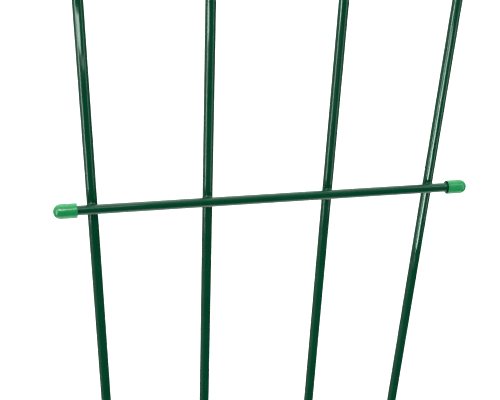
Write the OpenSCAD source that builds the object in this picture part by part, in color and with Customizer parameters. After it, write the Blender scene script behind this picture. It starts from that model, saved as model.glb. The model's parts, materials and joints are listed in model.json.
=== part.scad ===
/* [Arches] */
// Height of the outer arch's top above the ground line
height = 1250; // [900:10:1600]
// Depth of the tips' points below the ground line
leg_depth = 250; // [150:10:350]
// Distance between the outer legs' axes at the ground line
outer_width = 250; // [210:5:360]
// Distance between the inner legs' axes at the ground line
inner_width = 96; // [70:2:130]
// Outward lean of the outer legs, in degrees
outer_splay = 2.2; // [0.5:0.1:3.5]
// Outward lean of the inner legs, in degrees
inner_splay = 0.45; // [0.15:0.05:1.2]

/* [Tubes] */
// Outside diameter of the arches' tube, over its coat
leg_od = 8.6; // [7:0.1:12]
// Outside diameter of the crossbars' tube, over its coat
bar_od = 8; // [6.5:0.1:11]
// Wall thickness of both tubes
tube_wall = 0.8; // [0.6:0.1:1.2]

/* [Crossbars] */
// Height of the lowest crossbar above the ground line
first_bar_height = 60; // [30:5:150]
// Drop of the top crossbar below the start of the outer arch's curve
top_bar_drop = 13; // [11:1:60]
// Distance of each cap's mouth outside the outer leg's axis
bar_overhang = 13.4; // [11:0.2:40]
// Sideways shift of the crossbars, as welded
bar_shift = 1; // [-4:0.2:4]

/* [Welds] */
// Run of each weld fillet along the leg and along the crossbar, beyond the tube it fills against
weld_run = 1.2; // [0.8:0.1:2.4]
// Radius left clear in the middle of a weld, where the tubes touch
weld_core_r = 1.2; // [0.8:0.1:2]

/* [End caps] */
// Wall thickness of a cap
cap_wall = 1.95; // [1.25:0.05:3]
// Length of a cap, from its mouth to the top of its dome
cap_length = 18.6; // [14:0.2:30]
// Radial clearance between a cap's bore and the tube
cap_clearance = 0.05; // [0.02:0.01:0.1]
// Depth of the tapered lead-in at a cap's mouth
cap_lead_in = 1.4; // [0.6:0.2:2.4]
// Thickness of a cap's rim at its mouth
cap_rim = 0.8; // [0.5:0.1:1.2]

/* [Foot tips] */
// Length of a tip's cone below its leg's end
tip_length = 24; // [12:1:40]
// Radius of a tip's rounded point
tip_point_r = 1.2; // [0.8:0.1:2]
// Length of a tip's stem inside the tube
stem_length = 14; // [8:1:30]
// Radial clearance between a tip's stem and the tube's bore
stem_clearance = 0.05; // [0:0.01:0.1]

/* [Hidden] */
$fn = 64;
BARS = 5;
SIDES = [-1, 1];

coat_color = [0.02, 0.25, 0.17];
plastic_color = [0.1, 0.65, 0.36];

leg_r = leg_od / 2;
bar_r = bar_od / 2;
cap_bore_r = bar_r + cap_clearance;
cap_r = cap_bore_r + cap_wall;
cap_dome_start = cap_length - cap_r;
cap_edge = 0.3;
tube_end_gap = 0.3;
tube_insertion = cap_dome_start - tube_end_gap;

bend_step = 0.03;
bend_overlap = 0.5;

stem_r = leg_r - tube_wall - stem_clearance;
stem_chamfer = 0.8;

// Radius of an arc that ends in two legs leaning by splay, with its top at the outer arch's height
outer_r = (outer_width / 2 * cos(outer_splay) + (height - leg_r) * sin(outer_splay))
    / (1 + sin(outer_splay));
arc_height = height - leg_r - outer_r;
inner_r = (inner_width / 2 + arc_height * tan(inner_splay)) * cos(inner_splay);

tube_end_depth = leg_depth - tip_length;
top_bar_height = arc_height - outer_r * sin(outer_splay) - top_bar_drop;
bar_pitch = (top_bar_height - first_bar_height) / (BARS - 1);

// The bars lie against the front of the legs, and the welds are where they touch
bar_plane = -leg_r - bar_r;
weld_plane = -leg_r;
weld_tip = 0.2;

// Where a weld's face ends inside a tube, as shares of the tube's radius
weld_depth = 0.7;
weld_root = 0.8;
cutter_length = 4 * leg_od;

// A tip's cone ends inside its rounded point, at a share of the point's radius
cone_end = 0.9;
point_center = tip_length - tip_point_r;

function bar_height(i) = first_bar_height + (i - 1) * bar_pitch;
function leg_x(width, splay, z) = width / 2 + z * tan(splay);
function mouth_x(i, side) =
    side * (leg_x(outer_width, outer_splay, bar_height(i)) + bar_overhang) + bar_shift;
function leg_length(radius, splay) =
    (arc_height - radius * sin(splay) + tube_end_depth) / cos(splay);

// Places its children in a leg's own frame: the origin where the leg meets the arc, +Z along the leg
module on_leg(radius, splay, side)
    mirror([side < 0 ? 1 : 0, 0, 0])
        translate([0, 0, arc_height])
            rotate([0, splay, 0])
                translate([radius, 0, 0])
                    children();

// A tube's ring section, with both faces of its wall drawn in by step
module tube_section(radius, step = 0)
    difference() {
        circle(radius - step);
        circle(radius - tube_wall + step);
    }

// An arch is one bent tube. Its wall is a little thinner in the bend, which runs on inside the legs
module arch(radius, splay)
    color(coat_color) {
        translate([0, 0, arc_height])
            rotate([90, 0, 0])
                rotate_extrude(
                    angle = 180 + 2 * (splay + bend_overlap),
                    start = -splay - bend_overlap
                )
                    translate([radius, 0])
                        tube_section(leg_r, bend_step);
        for (side = SIDES)
            on_leg(radius, splay, side)
                translate([0, 0, -leg_length(radius, splay)])
                    linear_extrude(height = leg_length(radius, splay))
                        tube_section(leg_r);
    }

module outer_arch() arch(outer_r, outer_splay);

module inner_arch() arch(inner_r, inner_splay);

module crossbar(i) {
    left_end = mouth_x(i, -1) - tube_insertion;
    right_end = mouth_x(i, 1) + tube_insertion;
    color(coat_color)
        translate([left_end, bar_plane, bar_height(i)])
            rotate([0, 90, 0])
                linear_extrude(height = right_end - left_end)
                    tube_section(bar_r);
}

// A weld fills the saddle between a leg and a bar: its edges run out on the leg above and below the bar,
// and on the bar to the left and right of the leg
module weld_blank()
    hull()
        polyhedron(
            points = concat(
                [for (s = SIDES) [s * (leg_r + weld_run), weld_tip, 0]],
                [for (s = SIDES) [0, -weld_tip, s * (bar_r + weld_run)]],
                [for (s = SIDES) [s * weld_root * leg_r, weld_depth * leg_r, 0]],
                [for (s = SIDES) [0, -weld_depth * bar_r, s * weld_root * bar_r]]
            ),
            faces = [[0, 1, 2, 3, 4, 5, 6, 7]]
        );

module weld(i, width, splay, side)
    translate([side * leg_x(width, splay, bar_height(i)), weld_plane, bar_height(i)])
        difference() {
            rotate([0, side * splay, 0])
                weld_blank();
            rotate([0, side * splay, 0])
                translate([0, leg_r, 0])
                    cylinder(h = cutter_length, r = leg_r, center = true);
            translate([0, -bar_r, 0])
                rotate([0, 90, 0])
                    cylinder(h = cutter_length, r = bar_r, center = true);
            rotate([90, 0, 0])
                cylinder(h = cutter_length, r = weld_core_r, center = true);
        }

module welds(i)
    color(coat_color)
        for (side = SIDES) {
            weld(i, outer_width, outer_splay, side);
            weld(i, inner_width, inner_splay, side);
        }

// The half outline of a round-ended rod of radius r, which stands on the origin
module domed_outline(r)
    intersection() {
        union() {
            square([r, cap_dome_start]);
            translate([0, cap_dome_start])
                circle(r);
        }
        square([r, cap_length]);
    }

module cap(i, side)
    color(plastic_color)
        translate([mouth_x(i, side), bar_plane, bar_height(i)])
            rotate([0, side * 90, 0])
                rotate_extrude()
                    difference() {
                        domed_outline(cap_r);
                        domed_outline(cap_bore_r);
                        polygon([[0, 0], [cap_r - cap_rim, 0], [cap_bore_r, cap_lead_in], [0, cap_lead_in]]);
                        polygon([[cap_r - cap_edge, 0], [cap_r, 0], [cap_r, cap_edge]]);
                    }

// A pointed plug: its shoulder is flush with the tube, and its stem sits in the tube's bore
module foot_tip(radius, splay, side)
    color(plastic_color)
        on_leg(radius, splay, side)
            translate([0, 0, -leg_length(radius, splay)]) {
                rotate_extrude()
                    polygon([
                        [0, stem_length],
                        [stem_r - stem_chamfer, stem_length],
                        [stem_r, stem_length - stem_chamfer],
                        [stem_r, 0],
                        [leg_r, 0],
                        [cone_end * tip_point_r, -point_center],
                        [0, -point_center]
                    ]);
                translate([0, 0, -point_center])
                    sphere(tip_point_r);
            }

outer_arch();
inner_arch();
crossbar(1);  // crossbar_1
crossbar(2);  // crossbar_2
crossbar(3);  // crossbar_3
crossbar(4);  // crossbar_4
crossbar(5);  // crossbar_5
welds(1);  // welds_1
welds(2);  // welds_2
welds(3);  // welds_3
welds(4);  // welds_4
welds(5);  // welds_5
cap(1, -1);  // cap_1_left
cap(1, 1);  // cap_1_right
cap(2, -1);  // cap_2_left
cap(2, 1);  // cap_2_right
cap(3, -1);  // cap_3_left
cap(3, 1);  // cap_3_right
cap(4, -1);  // cap_4_left
cap(4, 1);  // cap_4_right
cap(5, -1);  // cap_5_left
cap(5, 1);  // cap_5_right
foot_tip(outer_r, outer_splay, -1);  // outer_tip_left
foot_tip(outer_r, outer_splay, 1);  // outer_tip_right
foot_tip(inner_r, inner_splay, -1);  // inner_tip_left
foot_tip(inner_r, inner_splay, 1);  // inner_tip_right
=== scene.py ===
"""Garden trellis arch: coated steel tubes, welded crossings, push-on caps and pointed foot tips."""

import json
import math

import bmesh
import bpy
import numpy as np
from mathutils import Matrix, Vector


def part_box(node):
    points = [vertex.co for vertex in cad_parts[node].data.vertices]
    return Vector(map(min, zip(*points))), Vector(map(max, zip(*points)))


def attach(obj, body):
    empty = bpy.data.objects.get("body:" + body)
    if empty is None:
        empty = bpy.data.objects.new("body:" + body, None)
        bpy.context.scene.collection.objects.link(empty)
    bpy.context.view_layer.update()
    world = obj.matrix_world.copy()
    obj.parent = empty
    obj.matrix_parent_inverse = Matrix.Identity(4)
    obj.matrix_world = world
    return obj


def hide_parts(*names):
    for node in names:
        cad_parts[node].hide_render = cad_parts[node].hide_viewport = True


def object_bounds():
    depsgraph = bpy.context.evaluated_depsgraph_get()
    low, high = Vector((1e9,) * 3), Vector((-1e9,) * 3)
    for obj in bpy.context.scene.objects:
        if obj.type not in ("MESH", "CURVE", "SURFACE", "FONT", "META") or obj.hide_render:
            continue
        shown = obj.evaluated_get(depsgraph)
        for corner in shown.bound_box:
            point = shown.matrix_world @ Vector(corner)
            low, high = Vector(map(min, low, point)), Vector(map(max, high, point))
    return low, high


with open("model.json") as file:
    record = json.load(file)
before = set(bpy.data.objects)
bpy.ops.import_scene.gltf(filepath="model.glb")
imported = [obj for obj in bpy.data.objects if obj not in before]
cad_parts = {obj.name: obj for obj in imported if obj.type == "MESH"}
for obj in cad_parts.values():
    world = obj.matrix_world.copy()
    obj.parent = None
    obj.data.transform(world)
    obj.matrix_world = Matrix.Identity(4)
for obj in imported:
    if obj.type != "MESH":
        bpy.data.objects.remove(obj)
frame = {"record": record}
cad_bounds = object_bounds()

# ---------------------------------------------------------------- sizes, in metres
MM = 0.001
BARS = (1, 2, 3, 4, 5)
SIDES = {"left": -1, "right": 1}
LEGS = ("outer_leg_left", "outer_leg_right", "inner_leg_left", "inner_leg_right")


def span(node):
    """A node's lowest and highest corners as vectors."""
    low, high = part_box(node)
    return Vector(low), Vector(high)


def bar_height(i):
    """The height of a crossbar's centre line."""
    low, high = span(f"crossbar_{i}")
    return (low.z + high.z) / 2


def leg_line(name):
    """A leg's point on the ground line and its direction going up, from the leg's mount."""
    for mount in frame["record"]["mounts"]:
        if mount["name"] == name:
            return Vector(mount["pos_m"]), -Vector(mount["axis"]).normalized()
    raise KeyError(name)


arch_low, arch_high = span("outer_arch")
bar_low, bar_high = span("crossbar_3")
LEG_R = (arch_high.y - arch_low.y) / 2
BAR_R = (bar_high.y - bar_low.y) / 2
WALL = 0.8 * MM
COAT = 0.3 * MM
FLOOR_Z = cad_bounds[0][2]

# ---------------------------------------------------------------- camera
CAMERA_YAW = math.radians(16.15)
CAMERA_PITCH = math.radians(22.11)
CAMERA_ROLL = math.radians(2.59)
CAMERA_DISTANCE = 0.7181
CAMERA_AIM = Vector((-0.01584, 0.0, bar_height(3) - 0.00384))
CAMERA_LENS = 61.7


def make_camera():
    """A camera in front of the trellis, to its left and above its middle bar, tilted slightly."""
    forward = Vector((
        math.sin(CAMERA_YAW) * math.cos(CAMERA_PITCH),
        math.cos(CAMERA_YAW) * math.cos(CAMERA_PITCH),
        -math.sin(CAMERA_PITCH),
    ))
    level_right = Vector((math.cos(CAMERA_YAW), -math.sin(CAMERA_YAW), 0.0))
    level_up = level_right.cross(forward)
    right = math.cos(CAMERA_ROLL) * level_right + math.sin(CAMERA_ROLL) * level_up
    up = right.cross(forward)
    turn = Matrix((right, up, -forward)).transposed().to_4x4()
    data = bpy.data.cameras.new("camera")
    data.lens = CAMERA_LENS
    data.sensor_width = 36.0
    data.clip_start = 0.01
    data.clip_end = 200.0
    camera = bpy.data.objects.new("camera", data)
    camera.matrix_world = Matrix.Translation(CAMERA_AIM - CAMERA_DISTANCE * forward) @ turn
    bpy.context.collection.objects.link(camera)
    bpy.context.scene.camera = camera


make_camera()


# ---------------------------------------------------------------- node materials
class Nodes:
    """A short way to write a material's node tree."""

    def __init__(self, material):
        material.use_nodes = True
        self.tree = material.node_tree
        self.shader = self.tree.nodes["Principled BSDF"]
        self.coords = self.add("ShaderNodeTexCoord").outputs["Object"]

    def add(self, kind, **settings):
        node = self.tree.nodes.new(kind)
        for name, value in settings.items():
            setattr(node, name, value)
        return node

    def link(self, source, target):
        self.tree.links.new(source, target)

    def drive(self, socket_name, source):
        """Feeds one of the shader's sockets."""
        self.link(source, self.shader.inputs[socket_name])

    def fix(self, socket_name, value):
        """Sets a constant on one of the shader's own sockets."""
        self.shader.inputs[socket_name].default_value = value

    def noise(self, scale, detail=3.0, roughness=0.5, stretch=(1.0, 1.0, 1.0)):
        mapping = self.add("ShaderNodeMapping")
        mapping.inputs["Scale"].default_value = stretch
        self.link(self.coords, mapping.inputs["Vector"])
        texture = self.add("ShaderNodeTexNoise")
        texture.inputs["Scale"].default_value = scale
        texture.inputs["Detail"].default_value = detail
        texture.inputs["Roughness"].default_value = roughness
        self.link(mapping.outputs["Vector"], texture.inputs["Vector"])
        return texture.outputs["Fac"]

    def ramp(self, value, low, high):
        """A colour ramp between two stops, each a position and a colour."""
        node = self.add("ShaderNodeValToRGB")
        for element, (position, color) in zip(node.color_ramp.elements, (low, high)):
            element.position = position
            element.color = (*color, 1.0)
        self.link(value, node.inputs["Fac"])
        return node.outputs["Color"]

    def grey_ramp(self, value, low, high):
        """A ramp between two stops, each a position and a grey."""
        return self.ramp(value, (low[0], (low[1],) * 3), (high[0], (high[1],) * 3))

    def mix(self, amount, under, over_color):
        """Lays a plain colour over another colour, where amount says so."""
        node = self.add("ShaderNodeMix", data_type="RGBA")
        factor, color_a, color_b = node.inputs[0], node.inputs[6], node.inputs[7]
        self.link(amount, factor)
        self.link(under, color_a)
        color_b.default_value = (*over_color, 1.0)
        return node.outputs[2]

    def bump(self, height, strength, distance, under=None):
        node = self.add("ShaderNodeBump")
        node.inputs["Strength"].default_value = strength
        node.inputs["Distance"].default_value = distance
        self.link(height, node.inputs["Height"])
        if under is not None:
            self.link(under, node.inputs["Normal"])
        return node.outputs["Normal"]


PLASTIC_IOR = 1.5


def coat_material():
    """Dark-green dipped plastic coat: glossy, with slow waves, fine orange peel and a little dust."""
    material = bpy.data.materials.new("coat_dark_green")
    n = Nodes(material)
    clouds = n.noise(45.0, detail=4.0)
    tone = n.ramp(clouds, low=(0.3, (0.0003, 0.049, 0.020)), high=(0.7, (0.0008, 0.060, 0.0255)))
    dust = n.grey_ramp(n.noise(1900.0, detail=2.0), low=(0.70, 0.0), high=(0.78, 1.0))
    n.drive("Base Color", n.mix(dust, tone, (0.006, 0.085, 0.045)))
    handled = n.noise(160.0, detail=5.0, roughness=0.6)
    n.drive("Roughness", n.grey_ramp(handled, low=(0.3, 0.08), high=(0.75, 0.17)))
    waves = n.bump(n.noise(50.0, detail=1.0), strength=0.2, distance=0.8 * MM)
    peel = n.bump(n.noise(420.0, detail=2.0), strength=0.1, distance=0.1 * MM, under=waves)
    grain = n.bump(n.noise(3000.0, detail=2.0), strength=0.05, distance=0.03 * MM, under=peel)
    n.drive("Normal", grain)
    n.fix("IOR", PLASTIC_IOR)
    n.fix("Specular Tint", (0.78, 1.0, 0.92, 1.0))
    return material


def steel_material():
    """Cut steel at the tubes' ends and in their bores: dull grey with saw marks and a little rust."""
    material = bpy.data.materials.new("cut_steel")
    n = Nodes(material)
    mottled = n.noise(600.0, detail=4.0)
    grey = n.ramp(mottled, low=(0.3, (0.30, 0.30, 0.30)), high=(0.7, (0.48, 0.48, 0.47)))
    rust = n.grey_ramp(n.noise(350.0, detail=5.0, roughness=0.65), low=(0.58, 0.0), high=(0.72, 0.7))
    n.drive("Base Color", n.mix(rust, grey, (0.17, 0.075, 0.03)))
    n.drive("Roughness", n.grey_ramp(n.noise(900.0), low=(0.3, 0.35), high=(0.7, 0.6)))
    saw_marks = n.noise(2500.0, detail=2.0, stretch=(1.0, 0.12, 1.0))
    n.drive("Normal", n.bump(saw_marks, strength=0.4, distance=0.1 * MM))
    n.fix("Metallic", 1.0)
    return material


def plastic_material():
    """Light-green moulded plastic of the caps and tips: glossy, faintly cloudy, a little translucent."""
    material = bpy.data.materials.new("cap_light_green")
    n = Nodes(material)
    cloud = n.ramp(n.noise(120.0), low=(0.3, (0.0005, 0.265, 0.067)), high=(0.7, (0.001, 0.295, 0.078)))
    flow_lines = n.noise(300.0, stretch=(0.2, 1.0, 1.0))
    streaks = n.grey_ramp(flow_lines, low=(0.5, 0.0), high=(0.85, 0.35))
    n.drive("Base Color", n.mix(streaks, cloud, (0.003, 0.33, 0.095)))
    n.drive("Roughness", n.grey_ramp(n.noise(400.0, detail=4.0), low=(0.3, 0.21), high=(0.75, 0.26)))
    soft = n.bump(n.noise(160.0, detail=2.0), strength=0.07, distance=0.2 * MM)
    n.drive("Normal", n.bump(n.noise(2600.0, detail=2.0), strength=0.03, distance=0.04 * MM, under=soft))
    n.fix("IOR", PLASTIC_IOR)
    n.fix("Subsurface Weight", 0.25)
    n.fix("Subsurface Radius", (0.4, 1.0, 0.5))
    n.fix("Subsurface Scale", 1.5 * MM)
    return material


coat = coat_material()
steel = steel_material()
plastic = plastic_material()

# ---------------------------------------------------------------- mesh code
SEGMENTS = 64
MERGE_DISTANCE = 1e-7
SHARP_ANGLE = math.radians(50)


def new_piece(name, vertices, faces, materials, face_materials=None):
    """A smooth-shaded mesh object, with doubled points merged and faces turned outwards."""
    mesh = bpy.data.meshes.new(name)
    mesh.from_pydata(vertices, [], faces)
    for material in materials:
        mesh.materials.append(material)
    if face_materials is not None:
        mesh.polygons.foreach_set("material_index", face_materials)
    work = bmesh.new()
    work.from_mesh(mesh)
    bmesh.ops.remove_doubles(work, verts=work.verts, dist=MERGE_DISTANCE)
    bmesh.ops.recalc_face_normals(work, faces=work.faces)
    work.to_mesh(mesh)
    work.free()
    mesh.polygons.foreach_set("use_smooth", [True] * len(mesh.polygons))
    mesh.set_sharp_from_angle(angle=SHARP_ANGLE)
    piece = bpy.data.objects.new(name, mesh)
    bpy.context.collection.objects.link(piece)
    return piece


def spun(name, profile, place, materials, profile_materials=None, ripple=None):
    """Spins a closed profile round a path.

    profile is a list of (distance along the path, radius), place(distance) gives a point of the path and
    the two directions across it, profile_materials holds each row's material, the first one by default,
    and ripple(distance, angle) is added to the radius of rows of the first material."""
    vertices, faces, face_materials = [], [], []
    rows = len(profile)
    row_materials = profile_materials or [0] * rows
    angles = [2 * math.pi * k / SEGMENTS for k in range(SEGMENTS)]
    for (along, radius), material in zip(profile, row_materials):
        origin, across, sideways = place(along)
        for angle in angles:
            extra = ripple(along, angle) if ripple and material == 0 else 0.0
            offset = (radius + extra) * (math.cos(angle) * across + math.sin(angle) * sideways)
            vertices.append(origin + offset)
    for row in range(rows):
        after = (row + 1) % rows
        on_axis = profile[row][1] == 0
        after_on_axis = profile[after][1] == 0
        if on_axis and after_on_axis:
            continue
        for k in range(SEGMENTS):
            beside = (k + 1) % SEGMENTS
            here, here_beside = row * SEGMENTS + k, row * SEGMENTS + beside
            there, there_beside = after * SEGMENTS + k, after * SEGMENTS + beside
            if on_axis:
                faces.append([here, there_beside, there])
            elif after_on_axis:
                faces.append([here, here_beside, there_beside])
            else:
                faces.append([here, here_beside, there_beside, there])
            face_materials.append(row_materials[row])
    return new_piece(name, vertices, faces, materials, face_materials)


def spread(start, end, count):
    """Evenly spaced numbers from start to end."""
    return [start + (end - start) * k / (count - 1) for k in range(count)]


def arc_points(center, radius, start, end, count):
    """Points of a profile's arc, from one angle to another in degrees, as (distance, radius) pairs."""
    angles = [math.radians(angle) for angle in spread(start, end, count)]
    return [(center[0] + radius * math.cos(a), center[1] + radius * math.sin(a)) for a in angles]


def straight_path(start, direction, across):
    """A straight centre line from a point."""
    sideways = direction.cross(across)

    def place(along):
        return start + along * direction, across, sideways

    return place


def arch_path(node, leg):
    """The centre line of an arch, from the left leg's end over the top to the right leg's end."""
    low, high = span(node)
    up = leg_line(leg)[1]
    radius = high.x - LEG_R
    center_z = high.z - LEG_R - radius
    lean = math.atan2(up.x, up.z)
    joint = Vector((radius * math.cos(lean), 0.0, center_z - radius * math.sin(lean)))
    end_z = low.z + LEG_R * math.sin(lean)
    leg_length = (joint.z - end_z) / math.cos(lean)
    total = 2 * leg_length + radius * (math.pi + 2 * lean)
    sideways = Vector((0.0, 1.0, 0.0))

    def place(along):
        if along < leg_length:
            point = Vector((-joint.x, 0.0, joint.z)) - (leg_length - along) * Vector((-up.x, 0.0, up.z))
            return point, Vector((-math.cos(lean), 0.0, -math.sin(lean))), sideways
        if along > total - leg_length:
            point = joint - (along - (total - leg_length)) * up
            return point, Vector((math.cos(lean), 0.0, -math.sin(lean))), sideways
        angle = math.pi + lean - (along - leg_length) / radius
        out = Vector((math.cos(angle), 0.0, math.sin(angle)))
        return Vector((0.0, 0.0, center_z)) + radius * out, out, sideways

    return place, total


def finish_piece(piece, node, body):
    """Ties a piece to the body that it rides on and hides the node that it replaces."""
    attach(piece, body)
    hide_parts(node)


# ---------------------------------------------------------------- tubes
RING_STEP = 3.5 * MM
COAT_EDGE = 0.6 * COAT
DEBURR = 0.1 * MM
RIPPLE_COUNT = 7
RIPPLE_RATES = (90, 420)
RIPPLE_TURNS = (1, 4)
RIPPLE_HEIGHTS = (0.004 * MM, 0.012 * MM)


def tube_profile(length, radius):
    """A tube's closed profile and its rows' materials: coat outside and over its ends, steel inside."""
    steel_r = radius - COAT
    bore = radius - WALL
    count = max(2, round((length - 2 * COAT_EDGE) / RING_STEP))
    skin = [(x, radius) for x in spread(COAT_EDGE, length - COAT_EDGE, count + 1)]
    far_center = (length - COAT_EDGE, radius - COAT_EDGE)
    near_center = (COAT_EDGE, radius - COAT_EDGE)
    far_edge = arc_points(far_center, COAT_EDGE, start=90, end=0, count=5)[1:]
    near_edge = arc_points(near_center, COAT_EDGE, start=180, end=90, count=5)[:-1]
    coat_rows = skin + far_edge + [(length, steel_r)]
    bore_rows = [(x, bore) for x in spread(length - DEBURR, DEBURR, count // 2 + 2)]
    steel_rows = [(length, bore + DEBURR)] + bore_rows + [(0.0, bore + DEBURR)]
    near_rows = [(0.0, steel_r)] + near_edge
    profile = coat_rows + steel_rows + near_rows
    kinds = [0] * (len(coat_rows) - 1) + [1] * (len(steel_rows) + 1) + [0] * len(near_rows)
    return profile, kinds


def ripple_of(seed):
    """Slow waves in the coat's thickness, which together are a few hundredths of a millimetre high."""
    draw = np.random.default_rng(seed)
    waves = [
        (
            draw.uniform(*RIPPLE_RATES),
            draw.integers(*RIPPLE_TURNS),
            draw.uniform(0, 2 * math.pi),
            draw.uniform(*RIPPLE_HEIGHTS),
        )
        for _ in range(RIPPLE_COUNT)
    ]

    def ripple(along, angle):
        return sum(
            height * math.sin(rate * along + turns * angle + phase) for rate, turns, phase, height in waves
        )

    return ripple


def make_arch(node, leg, seed):
    """A bent tube with two legs."""
    place, total = arch_path(node, leg)
    profile, kinds = tube_profile(total, LEG_R)
    piece = spun(f"{node}_tube", profile, place, (coat, steel), kinds, ripple_of(seed))
    finish_piece(piece, node, "frame")


def make_crossbar(i):
    """A straight tube across the front of the legs."""
    low, high = span(f"crossbar_{i}")
    start = Vector((low.x, (low.y + high.y) / 2, (low.z + high.z) / 2))
    profile, kinds = tube_profile(high.x - low.x, BAR_R)
    place = straight_path(start, Vector((1.0, 0.0, 0.0)), Vector((0.0, 1.0, 0.0)))
    piece = spun(f"crossbar_{i}_tube", profile, place, (coat, steel), kinds, ripple_of(10 + i))
    finish_piece(piece, f"crossbar_{i}", "frame")


# ---------------------------------------------------------------- weld fillets
FILLET_R = 1.5 * MM
FILLET_TURNS = 72
FILLET_ROWS = 14
FILLET_TAIL = 0.3 * MM
FILLET_SINK = 0.03 * MM
HUB_DEPTH = 1.5 * MM
SWELL_COUNT = 5
SWELL_RATES = (1, 6)
SWELL_PHASES = (0.0, 6.28)
SWELL_HEIGHTS = (0.01 * MM, 0.05 * MM)


def fillet_rows(turn):
    """One slice of a fillet, from the leg to the bar: points, their directions from the ball, swell shares.

    The fillet is what a ball leaves when it rolls round the crossing and touches both tubes. The slice is
    in the crossing's frame: x along the bar, z along the leg, y to the back, and the tubes touch at 0."""
    depth = FILLET_R * math.cos(2 * turn)
    ball = Vector((
        math.cos(turn) * math.sqrt(2 * FILLET_R * (2 * LEG_R + FILLET_R - depth)),
        depth,
        math.sin(turn) * math.sqrt(2 * FILLET_R * (2 * BAR_R + FILLET_R + depth)),
    ))
    to_leg = Vector((-ball.x, LEG_R - ball.y, 0.0)).normalized()
    to_bar = Vector((0.0, -BAR_R - ball.y, -ball.z)).normalized()
    opening = to_leg.angle(to_bar)
    rows = []
    for k in range(FILLET_ROWS + 1):
        part = k / FILLET_ROWS
        direction = math.sin((1 - part) * opening) * to_leg + math.sin(part * opening) * to_bar
        direction /= math.sin(opening)
        rows.append((ball + FILLET_R * direction, direction, math.sin(math.pi * part)))
    return rows


def tail_point(edge, inner, into_tube, radius):
    """A point past a fillet's edge, just under the tube's skin, so that the edge runs into the tube."""
    away = edge - inner
    away -= away.dot(into_tube) * into_tube
    sink = FILLET_TAIL**2 / (2 * radius) + FILLET_SINK
    return edge + FILLET_TAIL * away.normalized() + sink * into_tube


def fillet_slices(draw):
    """All slices of one weld, each with a tail in the leg and one in the bar, and with its own swells."""
    swells = [
        (int(draw.integers(*SWELL_RATES)), draw.uniform(*SWELL_PHASES), draw.uniform(*SWELL_HEIGHTS))
        for _ in range(SWELL_COUNT)
    ]
    slices = []
    for t in range(FILLET_TURNS):
        turn = 2 * math.pi * t / FILLET_TURNS
        swell = sum(size * math.sin(rate * turn + phase) for rate, phase, size in swells)
        rows = fillet_rows(turn)
        points = [point - direction * swell * share**2 for point, direction, share in rows]
        leg_tail = tail_point(points[0], points[1], rows[0][1], LEG_R)
        bar_tail = tail_point(points[-1], points[-2], rows[-1][1], BAR_R)
        slices.append([leg_tail] + points + [bar_tail])
    return slices


def make_welds(i):
    """The four welds of one crossbar, as one piece of four closed fillets."""
    vertices, faces = [], []
    columns = FILLET_ROWS + 3
    for leg, name in enumerate(LEGS):
        foot, up = leg_line(name)
        contact = foot + up * (bar_height(i) / up.z) + Vector((0.0, -LEG_R, 0.0))
        first = len(vertices)
        for points in fillet_slices(np.random.default_rng(100 * i + leg)):
            for point in points:
                vertices.append(contact + Vector((point.x, point.y, 0.0)) + point.z * up)
        starts = [first + t * columns for t in range(FILLET_TURNS)]
        rings = list(zip(starts, starts[1:] + starts[:1]))
        for here, after in rings:
            for row in range(columns - 1):
                faces.append([here + row, here + row + 1, after + row + 1, after + row])
        for row, depth in ((0, HUB_DEPTH), (columns - 1, -HUB_DEPTH)):
            hub = len(vertices)
            vertices.append(contact + Vector((0.0, depth, 0.0)))
            for here, after in rings:
                faces.append([here + row, after + row, hub])
    piece = new_piece(f"welds_{i}_fillets", vertices, faces, (coat,))
    finish_piece(piece, f"welds_{i}", "frame")


# ---------------------------------------------------------------- caps and tips
FIT_CLEARANCE = 0.05 * MM
# A cap's rim, rounded edges and lead-in, and the gate mark on its dome
CAP_RIM = 0.8 * MM
CAP_LEAD_IN = 1.4 * MM
CAP_EDGE = 0.35 * MM
CAP_INNER_EDGE = 0.2 * MM
LEAD_IN_EASE = 0.3 * MM
LEAD_IN_STEP = 0.05 * MM
GATE_DEPTH = 0.18 * MM
GATE_LIP = 0.02 * MM
GATE_FLOOR_R = 0.315 * MM
GATE_R = 0.42 * MM
# A tip's point and stem, and how far below the tube's end its flange, groove and skirt lie
POINT_R = 1.2 * MM
STEM_SETBACK = 0.2 * MM
STEM_CHAMFER = 0.8 * MM
FLANGE_EDGE = 0.15 * MM
FLANGE_END = 0.6 * MM
GROOVE_DEPTH = 0.25 * MM
GROOVE_START = 0.8 * MM
GROOVE_END = 1.0 * MM
SKIRT_START = 1.2 * MM
SKIRT_END = 2.0 * MM
SKIRT_INSET = 0.02 * MM


def cap_profile(length, radius):
    """A cap's closed profile, from the middle of its dome over the outside to the mouth and back inside."""
    dome = length - radius
    bore = BAR_R + FIT_CLEARANCE
    mouth_bore = radius - CAP_RIM
    gate_floor = length - GATE_DEPTH
    gate = [(gate_floor, 0.0), (gate_floor, GATE_FLOOR_R), (length - GATE_LIP, GATE_R)]
    outer_dome = arc_points((dome, 0.0), radius, start=4, end=90, count=28)
    skin = [(x, radius) for x in spread(dome, CAP_EDGE, 16)[1:]]
    rim = arc_points((CAP_EDGE, radius - CAP_EDGE), CAP_EDGE, start=90, end=180, count=7)[1:]
    inner_center = (CAP_INNER_EDGE, mouth_bore + CAP_INNER_EDGE)
    inner_rim = arc_points(inner_center, CAP_INNER_EDGE, start=180, end=290, count=6)
    lead_in = [(CAP_LEAD_IN, bore + LEAD_IN_STEP), (CAP_LEAD_IN + LEAD_IN_EASE, bore)]
    inner_dome = arc_points((dome, 0.0), bore, start=90, end=0, count=16)[:-1]
    return gate + outer_dome + skin + rim + inner_rim + lead_in + inner_dome + [(dome + bore, 0.0)]


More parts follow.
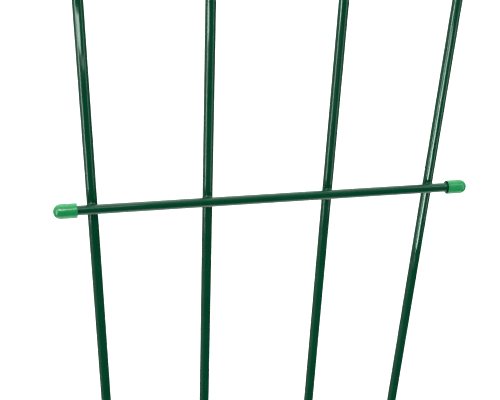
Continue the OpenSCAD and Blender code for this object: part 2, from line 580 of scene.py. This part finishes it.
def make_cap(i, side):
    """A push-on cap, which slides along its bar."""
    node = f"cap_{i}_{side}"
    low, high = span(node)
    radius = (high.z - low.z) / 2
    mouth_x = low.x if side == "right" else high.x
    mouth = Vector((mouth_x, (low.y + high.y) / 2, (low.z + high.z) / 2))
    place = straight_path(mouth, Vector((SIDES[side], 0.0, 0.0)), Vector((0.0, 0.0, 1.0)))
    piece = spun(f"{node}_shell", cap_profile(high.x - low.x, radius), place, (plastic,))
    finish_piece(piece, node, node)


def tip_profile(stem, length):
    """A tip's closed profile: a stem up the tube, a flange of the tube's size, a groove and a cone."""
    stem_r = LEG_R - WALL - FIT_CLEARANCE
    cone_start = LEG_R - SKIRT_INSET
    point_center = length - POINT_R
    lean = math.atan2(LEG_R - POINT_R, point_center)
    cone_end = POINT_R * math.cos(lean)
    profile = [(stem, 0.0), (stem, stem_r - STEM_CHAMFER), (stem - STEM_CHAMFER, stem_r), (0.0, stem_r)]
    profile += arc_points((-FLANGE_EDGE, LEG_R - FLANGE_EDGE), FLANGE_EDGE, start=0, end=90, count=4)
    profile += [(-FLANGE_END, LEG_R)]
    profile += [(-GROOVE_START, LEG_R - GROOVE_DEPTH), (-GROOVE_END, LEG_R - GROOVE_DEPTH)]
    profile += [(-SKIRT_START, cone_start), (-SKIRT_END, cone_start)]
    for x in spread(SKIRT_END, point_center, 24)[1:]:
        part = (x - SKIRT_END) / (point_center - SKIRT_END)
        profile.append((-x, cone_start + part * (cone_end - cone_start)))
    profile += arc_points((-point_center, 0.0), POINT_R, start=110, end=180, count=9)[:-1]
    return profile + [(-length, 0.0)]


def make_tip(arch, side):
    """A pointed plug in the lower end of a leg."""
    node = f"{arch}_tip_{side}"
    foot, up = leg_line(f"{arch}_leg_{side}")
    arch_bottom = span(f"{arch}_arch")[0].z + LEG_R * abs(up.x)
    shoulder = foot + up * (arch_bottom / up.z)
    low, high = span(node)
    stem = (high.z - arch_bottom) / up.z - STEM_SETBACK
    length = (arch_bottom - low.z) / up.z
    place = straight_path(shoulder, up, Vector((0.0, 1.0, 0.0)))
    piece = spun(f"{node}_plug", tip_profile(stem, length), place, (plastic,))
    finish_piece(piece, node, "frame")


make_arch("outer_arch", "outer_leg_right", 1)
make_arch("inner_arch", "inner_leg_right", 2)
for bar in BARS:
    make_crossbar(bar)
    make_welds(bar)
    for side in SIDES:
        make_cap(bar, side)
for arch in ("outer", "inner"):
    for side in SIDES:
        make_tip(arch, side)

# ---------------------------------------------------------------- stage and light
FLOOR_SIZE = 60.0
WHITE = (1.0, 1.0, 1.0, 1.0)
# The world as the camera sees it, and its soft light, which grows to the back and upwards
SEEN_STRENGTH = 1.1
SOFT_STRENGTH = 1.4
SOFT_FROM_BACK = 0.9
SOFT_FROM_ABOVE = 0.7
# How far the bright ceiling and rear panel lean to the back
OVERHEAD_LEAN = 0.6


def make_floor():
    """A plain floor, white to the camera and a soft grey to the light."""
    corners = [(x * FLOOR_SIZE, y * FLOOR_SIZE, 0) for x, y in ((-1, -1), (1, -1), (1, 1), (-1, 1))]
    mesh = bpy.data.meshes.new("floor")
    mesh.from_pydata(corners, [], [(0, 1, 2, 3)])
    floor = bpy.data.objects.new("floor", mesh)
    floor.location.z = FLOOR_Z
    floor.visible_glossy = False
    bpy.context.collection.objects.link(floor)
    material = bpy.data.materials.new("floor_white")
    n = Nodes(material)
    n.fix("Base Color", (0.5, 0.5, 0.5, 1.0))
    n.fix("Roughness", 0.9)
    n.fix("Emission Color", WHITE)
    n.drive("Emission Strength", n.add("ShaderNodeLightPath").outputs["Is Camera Ray"])
    mesh.materials.append(material)


def make_world():
    """A studio: white to the camera and a soft light on the pieces.

    Reflections see it dark, but for its ceiling, a rear panel, the ground and the left wall."""
    world = bpy.data.worlds.new("studio")
    bpy.context.scene.world = world
    world.use_nodes = True
    tree = world.node_tree
    background = tree.nodes["Background"]

    def calculate(operation, first, second):
        node = tree.nodes.new("ShaderNodeMath")
        node.operation = operation
        for socket, source in zip(node.inputs, (first, second)):
            if isinstance(source, bpy.types.NodeSocket):
                tree.links.new(source, socket)
            else:
                socket.default_value = source
        return node.outputs[0]

    def add(first, second):
        return calculate("ADD", first, second)

    def times(first, second):
        return calculate("MULTIPLY", first, second)

    def panel(value, start, full, strength):
        """A soft-edged bright area, dark up to start and at its strength from full on."""
        node = tree.nodes.new("ShaderNodeMapRange")
        node.interpolation_type = "SMOOTHSTEP"
        node.inputs["From Min"].default_value = start
        node.inputs["From Max"].default_value = full
        node.inputs["To Max"].default_value = strength
        tree.links.new(value, node.inputs["Value"])
        return node.outputs["Result"]

    def choose(is_so, otherwise, then):
        node = tree.nodes.new("ShaderNodeMix")
        tree.links.new(is_so, node.inputs[0])
        tree.links.new(otherwise, node.inputs[2])
        if isinstance(then, bpy.types.NodeSocket):
            tree.links.new(then, node.inputs[3])
        else:
            node.inputs[3].default_value = then
        return node.outputs[0]

    coords = tree.nodes.new("ShaderNodeTexCoord")
    split = tree.nodes.new("ShaderNodeSeparateXYZ")
    tree.links.new(coords.outputs["Generated"], split.inputs[0])
    right, back, up = split.outputs["X"], split.outputs["Y"], split.outputs["Z"]
    overhead = add(up, times(back, OVERHEAD_LEAN))
    ceiling = panel(overhead, start=0.1, full=1.1, strength=0.9)
    rear_panel = panel(overhead, start=0.85, full=1.2, strength=1.7)
    ground = panel(times(up, -1.0), start=0.66, full=0.97, strength=2.3)
    left_wall = panel(times(right, -1.0), start=0.5, full=0.85, strength=0.42)
    reflected = add(add(add(ceiling, rear_panel), ground), left_wall)
    soft = add(add(times(back, SOFT_FROM_BACK), times(up, SOFT_FROM_ABOVE)), SOFT_STRENGTH)
    path = tree.nodes.new("ShaderNodeLightPath")
    light = choose(path.outputs["Is Glossy Ray"], otherwise=soft, then=reflected)
    strength = choose(path.outputs["Is Camera Ray"], otherwise=light, then=SEEN_STRENGTH)
    tree.links.new(strength, background.inputs["Strength"])
    background.inputs["Color"].default_value = WHITE


def make_light(name, place, aim, width, height, radiance, spread_angle=179.0):
    """A rectangular softbox, seen in reflections only.

    radiance is its brightness straight ahead, and spread_angle is its grid's opening in degrees."""
    half = math.radians(spread_angle) / 2
    data = bpy.data.lights.new(name, "AREA")
    data.shape = "RECTANGLE"
    data.size = width
    data.size_y = height
    data.spread = 2 * half
    data.energy = radiance * math.pi * width * height * (1 - half / math.tan(half))
    light = bpy.data.objects.new(name, data)
    light.location = place
    light.rotation_euler = (Vector(aim) - Vector(place)).to_track_quat("-Z", "Y").to_euler()
    light.visible_camera = False
    light.visible_diffuse = False
    bpy.context.collection.objects.link(light)


make_floor()
make_world()
# Tall boxes at the sides, which draw the long streaks on the legs
make_light("soft_left", (-1.4, -0.56, 0.75), (0.0, 0.0, 0.75), width=0.2, height=1.7, radiance=15.5)
make_light("soft_right", (0.62, -0.45, 0.85), (0.0, 0.0, 0.85), width=0.11, height=1.2, radiance=5.0)
# A box with a grid, aimed at the right outer leg
make_light(
    "soft_front", (0.025, -0.18, 0.545), (0.16, 0.0, 0.62),
    width=0.07, height=0.25, radiance=32.0, spread_angle=36.0,
)
# Small boxes above the middle bar's left end, for the cap's highlight and a fine line on the bar
make_light(
    "soft_high", (-0.205, -0.104, 0.673), (-0.158, 0.0, 0.56),
    width=0.11, height=0.06, radiance=12.0,
)
make_light(
    "soft_line", (-0.125, -0.073, 0.66), (-0.135, -0.008, 0.56),
    width=0.06, height=0.03, radiance=2.7,
)
bpy.context.scene.view_settings.view_transform = "Standard"
